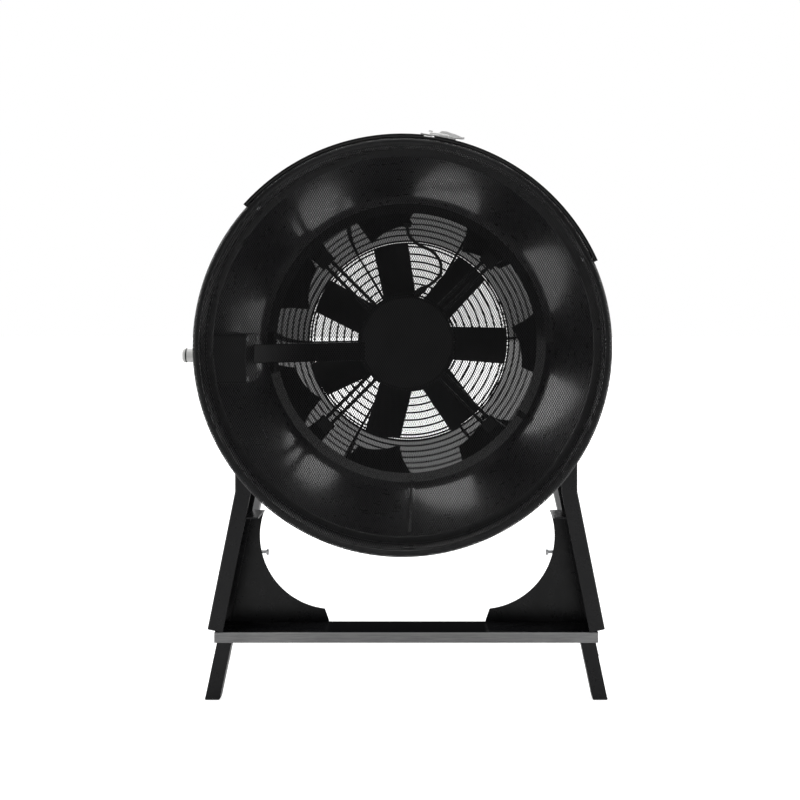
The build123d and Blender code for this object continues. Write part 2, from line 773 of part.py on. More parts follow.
def run_capacitor():
    can = rod((17.5, 43, AXIS_Z + 228.5), (17.5, 89, AXIS_Z + 228.5), 12)
    return fillet(can.edges(), 2)


def earth_clip():
    """Small spring clip on the step between cone and duct."""
    x = DUCT_R + 4
    foot = block(x - 3, x + 11, JOINT_Y - 1.6, JOINT_Y, AXIS_Z - 5, AXIS_Z + 5)
    loop = rod((x, JOINT_Y - 4, AXIS_Z - 5), (x, JOINT_Y - 4, AXIS_Z + 5), 3.2)
    loop = loop - rod((x, JOINT_Y - 4, AXIS_Z - 6), (x, JOINT_Y - 4, AXIS_Z + 6), 1.8)
    return about_axis(foot + loop, -32)


# ---- impeller ----
def blade_at_zero(thickness):
    """A cambered paddle blade whose middle line runs out along +X."""
    half = BLADE_CHORD_TIP / 2
    back = thickness / 2
    section = make_face(
        Polyline((-half, -back), (-half, back))
        + ThreePointArc((-half, back), (0, back + BLADE_CAMBER), (half, back))
        + Polyline((half, back), (half, -back))
        + ThreePointArc((half, -back), (0, -back + BLADE_CAMBER), (-half, -back))
    )
    pitch = radians(BLADE_PITCH)
    along = (0, sin(pitch), cos(pitch))
    start = Plane(origin=(BLADE_ROOT_R, BLADE_Y, AXIS_Z), x_dir=along, z_dir=(1, 0, 0))
    strip = extrude(start * section, amount=BLADE_TIP_R - BLADE_ROOT_R)
    middle = Plane(origin=(0, BLADE_Y, AXIS_Z), x_dir=(1, 0, 0), z_dir=(0, -cos(pitch), sin(pitch)))
    root, tip = BLADE_CHORD_ROOT / 2, BLADE_CHORD_TIP / 2
    paddle = outline((BLADE_ROOT_R, -root), (BLADE_TIP_R, -tip), (BLADE_TIP_R, tip), (BLADE_ROOT_R, root))
    paddle = fillet(paddle.vertices().group_by(Axis.X)[-1], 5)
    trim = extrude(middle * paddle, amount=20, both=True)
    return strip & trim & tube_y(BLADE_TIP_R, 1, BLADE_Y - 40, BLADE_Y + 40)


def impeller_hub():
    """Cast hub with a slot for each blade root."""
    hub = turned(
        (SHAFT_R + 0.01, HUB_Y[0]),
        (26, HUB_Y[0]),
        (30, HUB_Y[0] + 4),
        (HUB_R, HUB_Y[0] + 2),
        (HUB_R, HUB_Y[1] - 2),
        (30, HUB_Y[1] - 4),
        (26, HUB_Y[1]),
        (SHAFT_R + 0.01, HUB_Y[1]),
    )
    cutter = blade_at_zero(BLADE_T + 0.04)
    for angle in BLADE_ANGLES:
        hub = hub - about_axis(cutter, angle)
    return hub


def hub_nut():
    """Flanged nut on the end of the shaft."""
    flange = tube_y(16, 1, HUB_Y[1] + 0.02, HUB_Y[1] + 2.5)
    nut = flange + hexagon_y(0, AXIS_Z, HUB_Y[1] + 2.5, HUB_Y[1] + 11, 24)
    return nut - rod_y(0, AXIS_Z, HUB_Y[1] - 1, HUB_Y[1] + 14, SHAFT_R + 0.02)


# ---- rear guard ----


def guard_screw_holes():
    return [rod_y(*polar(GUARD_SCREW_R, a), DUCT_END_Y - 4, DUCT_END_Y + 2, 2.1) for a in GUARD_SCREW_ANGLES]


def rear_guard():
    """Welded wire guard: rings, a centre disc, a heavier edge ring and radial wires behind them."""
    guard = rod_y(0, AXIS_Z, GUARD_Y + 0.8, GUARD_Y + 2.3, GUARD_DISC_R)
    guard = guard + torus_y(GUARD_OUTER_R + 4.2, 2.4, DUCT_END_Y + 2.5)
    for i in range(GUARD_RINGS):
        guard = guard + torus_y(GUARD_OUTER_R - i * GUARD_PITCH, GUARD_WIRE_R, GUARD_Y)
    for i in range(GUARD_SPOKES):
        x0, z0 = polar(30, i * 60 + 1)
        x1, z1 = polar(GUARD_OUTER_R + 5, i * 60 + 1)
        guard = guard + rod((x0, GUARD_Y + 3.1, z0), (x1, GUARD_Y + 3.1, z1), 2.0)
    return guard


def guard_clips():
    """Clips that hold the guard's edge ring down on the duct lip."""
    made = []
    for angle in GUARD_SCREW_ANGLES:
        top = block(183, 199, DUCT_END_Y + 5.0, DUCT_END_Y + 6.5, AXIS_Z - 6, AXIS_Z + 6)
        leg = block(189.2, 199, DUCT_END_Y + 0.02, DUCT_END_Y + 5.0, AXIS_Z - 6, AXIS_Z + 6)
        clip = top + leg - rod_y(GUARD_SCREW_R, AXIS_Z, DUCT_END_Y - 1, DUCT_END_Y + 8, 2.1)
        made.append(about_axis(clip, angle))
    return group(made)


def guard_screws():
    made = []
    for angle in GUARD_SCREW_ANGLES:
        x, z = polar(GUARD_SCREW_R, angle)
        head = rod_y(x, z, DUCT_END_Y + 6.52, DUCT_END_Y + 8.8, 3.4)
        made.append(head + rod_y(x, z, DUCT_END_Y - 6, DUCT_END_Y + 6.52, 1.95))
    return group(made)


# ---- tilt pivot ----
def pivot_bracket():
    """Hat bracket welded to the right side of the cone."""
    plate = block(PIVOT_PLATE_X, PIVOT_PLATE_X + 3, -28, 24, AXIS_Z - 48, AXIS_Z + 48)
    plate = fillet(plate.edges().filter_by(Axis.X), 6)
    made = plate
    for side in (-1, 1):
        z0, z1 = sorted((AXIS_Z + side * 40, AXIS_Z + side * 43))
        made = made + block(215, PIVOT_PLATE_X + 1, -28, 4, z0, z1)
    made = made - cone_filled(-60, JOINT_Y)
    return made - rod_x(240, 260, 0, AXIS_Z, PIVOT_R + RUNNING_GAP)


def pivot_stud():
    """Bolt fixed in the bracket, on which the drum tilts."""
    head = rod_x(241.5, PIVOT_PLATE_X, 0, AXIS_Z, 8.0)
    return head + rod_x(PIVOT_PLATE_X, 300, 0, AXIS_Z, PIVOT_R)


def ring_x(x0, x1, outer, inner):
    return rod_x(x0, x1, 0, AXIS_Z, outer) - rod_x(x0 - 1, x1 + 1, 0, AXIS_Z, inner)


def pivot_bush():
    return ring_x(PIVOT_PLATE_X + 3, 275.0, 15, PIVOT_R + RUNNING_GAP)


def friction_disc():
    return ring_x(275.0 + BODY_GAP, POST_X - POST_T, 19, PIVOT_R + 0.08)


def outer_washer():
    return ring_x(POST_X, POST_X + 2.5, 17, PIVOT_R + 0.08)


def clamp_knob():
    """Five-lobed hand knob."""
    x0 = POST_X + 2.5 + BODY_GAP
    boss = rod_x(x0, x0 + 4, 0, AXIS_Z, 13)
    lobes = 5
    profile = Circle(19)
    for i in range(lobes):
        profile = profile + Rot(0, 0, i * 360 / lobes) * Pos(18, 0) * Circle(8.5)
    plane = Plane(origin=(x0 + 3, 0, AXIS_Z), z_dir=(1, 0, 0))
    grip = extrude(plane * profile, amount=19)
    grip = fillet(grip.faces().sort_by(Axis.X)[-1].edges(), 3)
    return boss + grip - rod_x(x0 - 1, x0 + 17, 0, AXIS_Z, PIVOT_R + RUNNING_GAP)


# ---- stand ----


def post_outer_x(z):
    return POST_X + max(0.0, POST_BEND_Z - z) * POST_LEAN


def post_outline(inset, width):
    """Front view of the post between two lines parallel to its outer edge, running past both ends."""
    bend_shift = tan(atan2(POST_LEAN, 1) / 2)
    low_z = 60.0

    def line(offset):
        bend_z = POST_BEND_Z - offset * bend_shift
        low_x = POST_X - offset + (bend_z - low_z) * POST_LEAN
        return (POST_X - offset, POST_TOP_Z), (POST_X - offset, bend_z), (low_x, low_z)

    top_a, bend_a, low_a = line(inset)
    top_b, bend_b, low_b = line(width)
    return outline(top_a, bend_a, low_a, low_b, bend_b, top_b)


def post():
    """Folded channel, open to the inside, upright at the top and leaning outward below."""
    solid = front_view(post_outline(0, POST_FLANGE), POST_FRONT_Y, POST_BACK_Y)
    outer_edges = solid.edges().filter_by(lambda e: e.center().X > post_outer_x(e.center().Z) - 1)
    long_edges = outer_edges.filter_by(lambda e: e.length > 100)
    solid = fillet(long_edges, 4)
    hollow = front_view(post_outline(POST_T, POST_FLANGE + 10), POST_FRONT_Y + POST_T, POST_BACK_Y - POST_T)
    channel = solid - hollow
    lean = Vector(POST_LEAN, 0, -1).normalized()
    inner_low = Vector(POST_X - POST_FLANGE + (POST_BEND_Z - TRAY_TOP_Z) * POST_LEAN - 0.05, 0, TRAY_TOP_Z)
    below = Plane(origin=inner_low, z_dir=lean)
    channel = channel - extrude(below * Rectangle(300, 300), amount=100)
    channel = channel - rod_x(POST_X - 5, POST_X + 5, 0, AXIS_Z, PIVOT_R + RUNNING_GAP)
    for x, z in LEG_BOLTS:
        channel = channel - rod_y(x, z, POST_BACK_Y - 6, POST_BACK_Y + 6, 3.1)
    return channel


def tray():
    """Cross member: sheet folded down along the front and back."""
    solid = block(-TRAY_HALF, TRAY_HALF, POST_FRONT_Y, POST_BACK_Y, TRAY_TOP_Z - TRAY_LIP, TRAY_TOP_Z)
    solid = fillet(solid.edges().filter_by(Axis.X).group_by(Axis.Z)[-1], 3)
    hollow = block(-400, 400, POST_FRONT_Y + POST_T, POST_BACK_Y - POST_T, 0, TRAY_TOP_Z - POST_T)
    return solid - hollow


def gusset():
    """Corner plate behind post and tray, cut to a round arch, with a flange folded forward on top."""
    arc_x, arc_z, arc_r = GUSSET_ARC
    low_x = 140.0
    low_z = arc_z - sqrt(arc_r**2 - (low_x - arc_x) ** 2)
    top_x = arc_x + sqrt(arc_r**2 - (GUSSET_TOP_Z - arc_z) ** 2)
    mid_angle = radians(-30)
    mid = (arc_x + arc_r * cos(mid_angle), arc_z + arc_r * sin(mid_angle))
    outer_top = post_outer_x(GUSSET_TOP_Z) - 1.5
    outer_low = post_outer_x(118) - 1.5
    foot_z = TRAY_TOP_Z - TRAY_LIP + 3
    edge = (
        ThreePointArc((low_x, low_z), mid, (top_x, GUSSET_TOP_Z))
        + Polyline(
            (top_x, GUSSET_TOP_Z),
            (outer_top, GUSSET_TOP_Z),
            (outer_low, 118),
            (TRAY_HALF - 2, 112),
            (TRAY_HALF - 2, foot_z),
            (133, foot_z),
            (133, TRAY_TOP_Z + 1),
            (low_x, low_z),
        )
    )
    plate = front_view(make_face(edge), POST_BACK_Y, POST_BACK_Y + POST_T)
    flange_inner = post_outer_x(GUSSET_TOP_Z) - POST_FLANGE * LEAN_LENGTH - 0.3
    flange_y = (POST_FRONT_Y + 0.5, POST_BACK_Y + POST_T)
    flange = block(top_x, flange_inner, *flange_y, GUSSET_TOP_Z - POST_T, GUSSET_TOP_Z)
    return plate + flange


def front_leg():
    """Square tube under the tray, leaning outward, cut level at the bottom."""
    return leaning_leg(0, 0) - leaning_leg(2, 2)


def leaning_leg(inset, extra):
    top_z = TRAY_TOP_Z - POST_T + extra
    low_z = FOOT_T - extra

    def x_at(z, offset):
        return FRONT_LEG_OUTER_X - z * FRONT_LEG_LEAN - offset

    face = outline(
        (x_at(low_z, inset), low_z),
        (x_at(top_z, inset), top_z),
        (x_at(top_z, FRONT_LEG_W - inset), top_z),
        (x_at(low_z, FRONT_LEG_W - inset), low_z),
    )
    y0 = POST_FRONT_Y + POST_T
    return front_view(face, y0 + inset, y0 + FRONT_LEG_D - inset)


def front_foot():
    """Plastic plug in the end of the front leg."""
    x1 = FRONT_LEG_OUTER_X
    y0 = POST_FRONT_Y + POST_T
    pad = block(x1 - FRONT_LEG_W, x1, y0, y0 + FRONT_LEG_D, 0, FOOT_T)
    pad = fillet(pad.edges().filter_by(Axis.Z), 2)
    pad = chamfer(pad.faces().sort_by(Axis.Z)[0].edges(), 0.8)
    plug = leaning_leg(2.05, 0) & block(200, 400, -60, 60, FOOT_T - 0.5, FOOT_T + 14)
    return pad + plug


def rear_leg_beam(inset):
    """The bent line of the rear leg, as two straight beams mitred at the bend."""
    foot = Vector(REAR_FOOT[0], REAR_FOOT[1], 0)
    bend = Vector(*REAR_BEND)
    top = Vector(*REAR_TOP)
    lower = (bend - foot).normalized()
    upper = (top - bend).normalized()
    face = Rectangle(REAR_LEG_W - 2 * inset, REAR_LEG_D - 2 * inset)
    mitre = Plane(origin=bend, z_dir=(lower + upper).normalized())
    low_start = foot - lower * 30
    low_plane = Plane(origin=low_start, x_dir=(1, 0, -lower.X / lower.Z), z_dir=lower)
    low = extrude(low_plane * face, amount=(bend - low_start).length + 40)
    low = low - extrude(mitre * Rectangle(200, 200), amount=100)
    high_start = bend - upper * 40
    high_plane = Plane(origin=high_start, x_dir=(1, 0, -upper.X / upper.Z), z_dir=upper)
    high = extrude(high_plane * face, amount=(top - high_start).length + 60)
    high = high - extrude(mitre * Rectangle(200, 200), amount=-100)
    return low + high


def rear_leg():
    """Flat-sided tube from the back of the post down to the rear foot."""
    tube = rear_leg_beam(0) - rear_leg_beam(1.8)
    tube = tube - block(200, 400, 0, 400, -100, FOOT_T) - block(200, 400, -50, POST_BACK_Y, 0, 800)
    tube = tube - block(200, 400, 0, 400, LEG_TOP_Z, 800)
    lug = block(REAR_TOP[0] - 7, REAR_TOP[0] + 9, POST_BACK_Y, POST_BACK_Y + 3, 576, LEG_TOP_Z)
    tube = tube + lug
    for x, z in LEG_BOLTS:
        tube = tube - rod_y(x, z, POST_BACK_Y - 1, POST_BACK_Y + 4, 3.1)
        tube = tube - rod_y(x, z, POST_BACK_Y + 3, POST_BACK_Y + 60, 6.5)
    return tube


def leg_bolts():
    made = []
    for x, z in LEG_BOLTS:
        head = hexagon_y(x, z, POST_BACK_Y + 3.02, POST_BACK_Y + 7, 10)
        made.append(head + rod_y(x, z, POST_BACK_Y - 9, POST_BACK_Y + 3.02, 3.0))
    return group(made)


def leg_nuts():
    made = []
    for x, z in LEG_BOLTS:
        nut = hexagon_y(x, z, POST_BACK_Y - POST_T - 5, POST_BACK_Y - POST_T, 10)
        made.append(nut - rod_y(x, z, POST_BACK_Y - 10, POST_BACK_Y, 3.0 + RUNNING_GAP))
    return group(made)


def rear_foot():
    """Plastic plug in the end of the rear leg, with a flat pad."""
    x, y = REAR_FOOT
    pad = block(x - REAR_LEG_W / 2, x + REAR_LEG_W / 2, y - 13, y + 13, 0, FOOT_T)
    pad = fillet(pad.edges().filter_by(Axis.Z), 2)
    pad = chamfer(pad.faces().sort_by(Axis.Z)[0].edges(), 0.8)
    plug = rear_leg_beam(1.85) & block(200, 400, 0, 400, FOOT_T - 0.5, FOOT_T + 14)
    return pad + plug


def cord_stud():
    """Headed rod for winding the cord on, with the pad that welds it to the back of the gusset."""
    pad = block(262, 288, POST_BACK_Y + POST_T, STUD_Y, STUD_Z - 4, STUD_Z + 4)
    shank = rod_x(STUD_HEAD_X, 292, STUD_Y, STUD_Z, 3.0)
    head = rod_x(STUD_HEAD_X, STUD_HEAD_X + 3.5, STUD_Y, STUD_Z, 5.5)
    return pad + shank + head


# ---- everything, by node name ----
def both_sides(name, shape):
    return {"left_" + name: to_left(shape), "right_" + name: shape}


def pair(*shapes):
    """The shapes and their mirror images, as separate solids of one node."""
    return group([solid for shape in shapes for part in (shape, to_left(shape)) for solid in part.solids()])


def together(*shapes):
    return group([solid for shape in shapes for solid in shape.solids()])


def drum_nodes():
    return {
        "front_cone": front_cone(),
        "rear_duct": rear_duct(),
        "joint_fasteners": together(joint_bolts(), joint_nuts()),
        "front_net": front_net(),
        "net_skirt": net_skirt(),
        "hem_cord": hem_cord(),
        "strap_left": strap(*STRAP_LEFT),
        "strap_right": strap(*STRAP_RIGHT),
        "strap_rivets": together(strap_rivets(), strap_spacers()),
        "latch_base": latch_base(),
        "latch_catch": latch_catch(),
        "latch_pin": latch_pin(),
        "latch_lever": latch_lever(),
        "latch_link": latch_link(),
        "junction_box": junction_box(),
        "junction_lid": junction_lid(),
        "cover_screws": together(lid_screws(), capacitor_screws(), guard_screws()),
        "terminal_block": terminal_block(),
        "cable_gland": together(gland_body(), gland_cap(), gland_nut()),
        "feed_arm": feed_arm(),
        "capacitor_box": capacitor_box(),
        "capacitor_lid": capacitor_lid(),
        "run_capacitor": run_capacitor(),
        "earth_clip": earth_clip(),
        "rear_guard": rear_guard(),
        "guard_clips": guard_clips(),
        "pivot_brackets": pair(pivot_bracket()),
        "pivot_studs": pair(pivot_stud(), pivot_bush()),
    }


def motor_nodes():
    return {
        "motor_housing": motor_housing(),
        "motor_front_cap": motor_front_cap(),
        "motor_rear_cap": motor_rear_cap(),
        "motor_bearings": together(bearing(MOTOR_FRONT_Y + 4.5), bearing(MOTOR_BACK_Y - 14.5)),
        "stator": stator(),
        "rotor_core": rotor_core(),
        "motor_shaft": motor_shaft(),
        "motor_clamp": motor_clamp(),
        "motor_arms": together(*[motor_arm(a) for a in ARM_ANGLES]),
        "motor_lead": motor_lead(),
        "lead_grommets": together(motor_gland(), lead_grommet()),
        "impeller_hub": impeller_hub(),
        "hub_nut": hub_nut(),
    }


def stand_nodes():
    return {
        "tray": tray(),
        **both_sides("post", post()),
        **both_sides("clamp_knob", clamp_knob()),
        "gussets": pair(gusset()),
        "front_legs": pair(front_leg()),
        "rear_legs": pair(rear_leg()),
        "foot_plugs": pair(front_foot(), rear_foot()),
        "leg_fasteners": pair(leg_bolts(), leg_nuts()),
        "cord_studs": pair(cord_stud()),
        "pivot_washers": pair(friction_disc(), outer_washer()),
    }


def build():
    nodes = {**drum_nodes(), **motor_nodes(), **stand_nodes()}
    for i, angle in enumerate(BLADE_ANGLES):
        nodes[f"blade_{i + 1}"] = about_axis(blade_at_zero(BLADE_T), angle)
    os.makedirs("parts", exist_ok=True)
    for name, shape in nodes.items():
        shape.label = name
        export_step(shape, os.path.join("parts", name + ".step"))


build()
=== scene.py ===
import json
import math

import bpy
import numpy as np
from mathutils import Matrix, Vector


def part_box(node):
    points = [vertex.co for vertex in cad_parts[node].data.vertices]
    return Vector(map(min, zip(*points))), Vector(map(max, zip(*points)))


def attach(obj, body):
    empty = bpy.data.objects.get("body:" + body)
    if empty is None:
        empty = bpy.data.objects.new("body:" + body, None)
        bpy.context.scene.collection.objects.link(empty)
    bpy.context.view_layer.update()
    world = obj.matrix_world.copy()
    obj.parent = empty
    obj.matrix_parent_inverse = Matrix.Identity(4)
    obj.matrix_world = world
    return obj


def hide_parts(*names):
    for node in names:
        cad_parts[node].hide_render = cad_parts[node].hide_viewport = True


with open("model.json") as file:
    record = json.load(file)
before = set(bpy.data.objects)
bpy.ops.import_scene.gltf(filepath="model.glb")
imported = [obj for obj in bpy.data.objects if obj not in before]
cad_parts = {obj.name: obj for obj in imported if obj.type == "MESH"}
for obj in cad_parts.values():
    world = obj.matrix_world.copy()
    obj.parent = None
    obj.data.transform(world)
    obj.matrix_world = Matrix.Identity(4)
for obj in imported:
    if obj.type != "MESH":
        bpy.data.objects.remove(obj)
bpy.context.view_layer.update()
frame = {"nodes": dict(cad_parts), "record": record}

NODES = frame["nodes"]

# ---- places taken from the frame, in metres ----
DUCT_LOW, DUCT_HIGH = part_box("rear_duct")
AXIS_Z = (DUCT_LOW.z + DUCT_HIGH.z) / 2       # height of the fan axis
THROAT_Y = DUCT_HIGH.y - 0.034                # the duct narrows no further behind here
NET_LOW, NET_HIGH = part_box("front_net")
SKIRT_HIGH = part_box("net_skirt")[1]
POST_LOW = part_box("right_post")[0]
TRAY_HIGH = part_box("tray")[1]
GUARD_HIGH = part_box("rear_guard")[1]
GLAND_LOW, GLAND_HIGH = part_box("cable_gland")

# ---- paint and plastic ----
CLOUD = (0.35, 0.7)                           # noise values between which a surface goes from colour to tint
BEVEL_R = 0.0008                              # a folded sheet's edge radius
TRAY_BEVEL_R = 0.0016
ENAMEL_COLOUR, ENAMEL_TINT = (0.006, 0.006, 0.007), (0.009, 0.009, 0.010)
ENAMEL_IOR = 1.9                              # of the clear coat
MATT_RUN, MATT_ROUGHNESS = 0.006, 0.75        # the enamel fades to matt over this length
# the second colour is a painted highlight, light grey along the top fold of the lip
TRAY_BLACK, TRAY_FOLD_HIGHLIGHT = (0.010, 0.010, 0.011), (0.42, 0.42, 0.42)
# painted highlight of the lip: light grey with streaks, standing in for light caught by the lip
TRAY_LIP_HIGHLIGHT = ((0.28, 0.28, 0.282), (0.40, 0.40, 0.402))
LIP_DEPTH = (0.0024, 0.001)                   # behind the post's front: the painted highlight on the lip starts, is full
FOLD_DEPTH = (0.0032, 0.0018)                 # below the tray's top: the painted highlight along the fold starts, is full
TRAY_ENDS = (0.13, 0.21)                      # distance from the middle over which the tray turns glossy

# ---- the net over the mouth ----
NET_FRONT_Y = NET_LOW.y                       # front face of the net
NET_FLAT_R = NET_HIGH.x - 0.0004              # where it starts to turn over the rim
NET_SKIRT_R = SKIRT_HIGH.x - 0.0005           # radius of the skirt
NET_BACK_Y = SKIRT_HIGH.y                     # back edge of the skirt
NET_TURN_R = NET_SKIRT_R - NET_FLAT_R
NET_CUT_R = NET_FLAT_R + NET_TURN_R * math.pi / 2 + (NET_BACK_Y - NET_FRONT_Y - NET_TURN_R)
CELL_W, CELL_H = 0.0034, 0.0060               # one diamond cell
STRAND = 0.00076                              # width of a strand
GATHER = 0.9                                  # how much wider the strands are where the net is gathered
GATHER_RUN = 0.003                            # length over which it gathers, inside the rim

# ---- rubber liners under the strap ----
LINER_R = (0.3059, 0.3084)
LINER_Y = (-0.2572, -0.2408)
LINER_EDGE = 0.0004                           # chamfer of the long edges
LINERS = {"strap_liner_left": (82.8, 138.0), "strap_liner_right": (24.0, 82.75)}

# ---- wire round the guard's spokes, seal ring in the gland's cap ----
EDGE_WIRE_R, EDGE_WIRE_T = 0.1752, 0.0016
EDGE_WIRE_Y = GUARD_HIGH.y - 0.0051
SEAL_AT = Vector((GLAND_LOW.x + 0.0056, (GLAND_LOW.y + GLAND_HIGH.y) / 2, (GLAND_LOW.z + GLAND_HIGH.z) / 2))
SEAL_R, SEAL_WIRE = 0.0098, 0.00125

# ---- weld along the lapped seam of the drum ----
SEAM_TURN = math.radians(-88.0)
SEAM_LINE = ((0.2795, -0.200), (0.2605, -0.118), (0.2370, -0.022), (0.2315, 0.002))   # radius and y
WELD_HALF, WELD_RISE, WELD_LIFT = 0.0019, 0.0011, 0.0006
WELD_STEP, WELD_RIPPLE, WELD_PERIOD = 0.0008, 0.22, 4
WELD_SIDES = 8

# ---- studio ----
FLOOR_HALF = 30.0
FLOOR_GLOW = (0.78, 1.0)                      # near the part and far from it, seen by the camera only
FLOOR_FADE = (0.5, 1.6)                       # distances from the part for those two
WORLD_FRONT, WORLD_BACK = 0.08, 1.45          # strength of the light from in front and from behind
WORLD_TURN = (-0.35, 0.55)                    # direction along Y over which it changes


# ---- node materials ----
def new_material(name):
    """A material with an empty node tree but for its Principled shader and output."""
    made = bpy.data.materials.new(name)
    made.use_nodes = True
    return made, made.node_tree, made.node_tree.nodes["Principled BSDF"]


def place(tree):
    """Object-space position, which stays with the piece as it moves."""
    return tree.nodes.new("ShaderNodeTexCoord").outputs["Object"]


def scaled(tree, vector, scale):
    node = tree.nodes.new("ShaderNodeMapping")
    node.inputs["Scale"].default_value = scale
    tree.links.new(vector, node.inputs["Vector"])
    return node.outputs["Vector"]


def noise(tree, vector, scale, detail=3.0, rough=0.55, out="Fac"):
    node = tree.nodes.new("ShaderNodeTexNoise")
    node.inputs["Scale"].default_value = scale
    node.inputs["Detail"].default_value = detail
    node.inputs["Roughness"].default_value = rough
    tree.links.new(vector, node.inputs["Vector"])
    return node.outputs[out]


def remap(tree, value, low, high, to_low, to_high):
    node = tree.nodes.new("ShaderNodeMapRange")
    for socket, number in zip(("From Min", "From Max", "To Min", "To Max"), (low, high, to_low, to_high)):
        node.inputs[socket].default_value = number
    tree.links.new(value, node.inputs["Value"])
    return node.outputs["Result"]


def mix_colour(tree, factor, first, second):
    node = tree.nodes.new("ShaderNodeMix")
    node.data_type = "RGBA"
    tree.links.new(factor, node.inputs["Factor"])
    for socket, value in ((node.inputs["A"], first), (node.inputs["B"], second)):
        if isinstance(value, bpy.types.NodeSocket):
            tree.links.new(value, socket)
        else:
            socket.default_value = (*value, 1.0)
    return node.outputs["Result"]


def bump(tree, height, distance, strength=1.0, under=None):
    node = tree.nodes.new("ShaderNodeBump")
    node.inputs["Distance"].default_value = distance
    node.inputs["Strength"].default_value = strength
    tree.links.new(height, node.inputs["Height"])
    if under is not None:
        tree.links.new(under, node.inputs["Normal"])
    return node.outputs["Normal"]


def rounded(tree, radius):
    """Normal that turns smoothly over sharp sheet edges, so that they catch light as folded metal does."""
    node = tree.nodes.new("ShaderNodeBevel")
    node.samples = 4
    node.inputs["Radius"].default_value = radius
    return node.outputs["Normal"]


def clouded(tree, at, scale, detail, colour, tint):
    """Slow change of tone between two colours."""
    cloud = noise(tree, at, scale, detail)
    return mix_colour(tree, remap(tree, cloud, *CLOUD, 0.0, 1.0), colour, tint)


def math_node(tree, operation, *values):
    node = tree.nodes.new("ShaderNodeMath")
    node.operation = operation
    for value, socket in zip(values, node.inputs):
        tree.links.new(value, socket)
    return node.outputs[0]


def split_place(tree, at):
    node = tree.nodes.new("ShaderNodeSeparateXYZ")
    tree.links.new(at, node.inputs[0])
    return node.outputs


def finish(tree, shader, shade, rough, normal):
    """Links the three textured inputs that every material here has."""
    tree.links.new(shade, shader.inputs["Base Color"])
    tree.links.new(rough, shader.inputs["Roughness"])
    tree.links.new(normal, shader.inputs["Normal"])


def painted(name, colour, tint, roughness, peel=0.00003, spread=0.06, shine=0.3):
    """Powder coat: faint cloudy tint, fine orange peel, dust in broad patches."""
    made, tree, shader = new_material(name)
    at = place(tree)
    shade = clouded(tree, at, 9.0, 4.0, colour, tint)
    fine = noise(tree, at, 420.0, 2.0)
    dust = noise(tree, at, 38.0, 6.0, 0.7)
    rough = remap(tree, dust, 0.3, 0.75, roughness - spread, roughness + spread)
    finish(tree, shader, shade, rough, bump(tree, fine, peel, under=rounded(tree, BEVEL_R)))
    shader.inputs["Specular IOR Level"].default_value = shine
    return made


def metal(name, colour, tint, roughness, grain=(60.0, 60.0, 900.0), depth=0.00001, share=1.0):
    """Plated or bare metal: fine directional grain and a slow change of tone."""
    made, tree, shader = new_material(name)
    at = place(tree)
    shade = clouded(tree, at, 55.0, 4.0, colour, tint)
    lines = noise(tree, scaled(tree, at, grain), 1.0, 3.0, 0.6)
    rough = remap(tree, lines, 0.3, 0.7, roughness - 0.07, roughness + 0.09)
    finish(tree, shader, shade, rough, bump(tree, lines, depth))
    shader.inputs["Metallic"].default_value = share
    return made


def plastic(name, colour, tint, roughness, grain=700.0, depth=0.00004, shine=0.5):
    """Moulded plastic or rubber with a fine spark-eroded texture."""
    made, tree, shader = new_material(name)
    at = place(tree)
    shade = clouded(tree, at, 24.0, 3.0, colour, tint)
    texture = noise(tree, at, grain, 2.0)
    rough = remap(tree, texture, 0.3, 0.7, roughness - 0.05, roughness + 0.05)
    finish(tree, shader, shade, rough, bump(tree, texture, depth))
    shader.inputs["Specular IOR Level"].default_value = shine
    return made


def enamel(name, roughness, coat, coat_roughness, matt_from=None):
    """Wet-looking enamel of the drum: a clear coat over black, faint waves, dust; matt behind matt_from."""
    made, tree, shader = new_material(name)
    at = place(tree)
    shade = clouded(tree, at, 7.0, 4.0, ENAMEL_COLOUR, ENAMEL_TINT)
    waves = noise(tree, at, 160.0, 1.0)
    if matt_from is None:
        dust = noise(tree, at, 60.0, 6.0, 0.7)
        rough = remap(tree, dust, 0.3, 0.8, roughness * 0.8, roughness * 1.3)
        shader.inputs["Coat Weight"].default_value = coat
    else:
        y = split_place(tree, at)["Y"]
        rough = remap(tree, y, matt_from, matt_from + MATT_RUN, roughness, MATT_ROUGHNESS)
        weight = remap(tree, y, matt_from, matt_from + MATT_RUN, coat, 0.0)
        tree.links.new(weight, shader.inputs["Coat Weight"])
    finish(tree, shader, shade, rough, bump(tree, waves, 0.000004))
    shader.inputs["Specular IOR Level"].default_value = 0.5 if matt_from is None else 0.0
    shader.inputs["Coat IOR"].default_value = ENAMEL_IOR
    shader.inputs["Coat Roughness"].default_value = coat_roughness
    return made


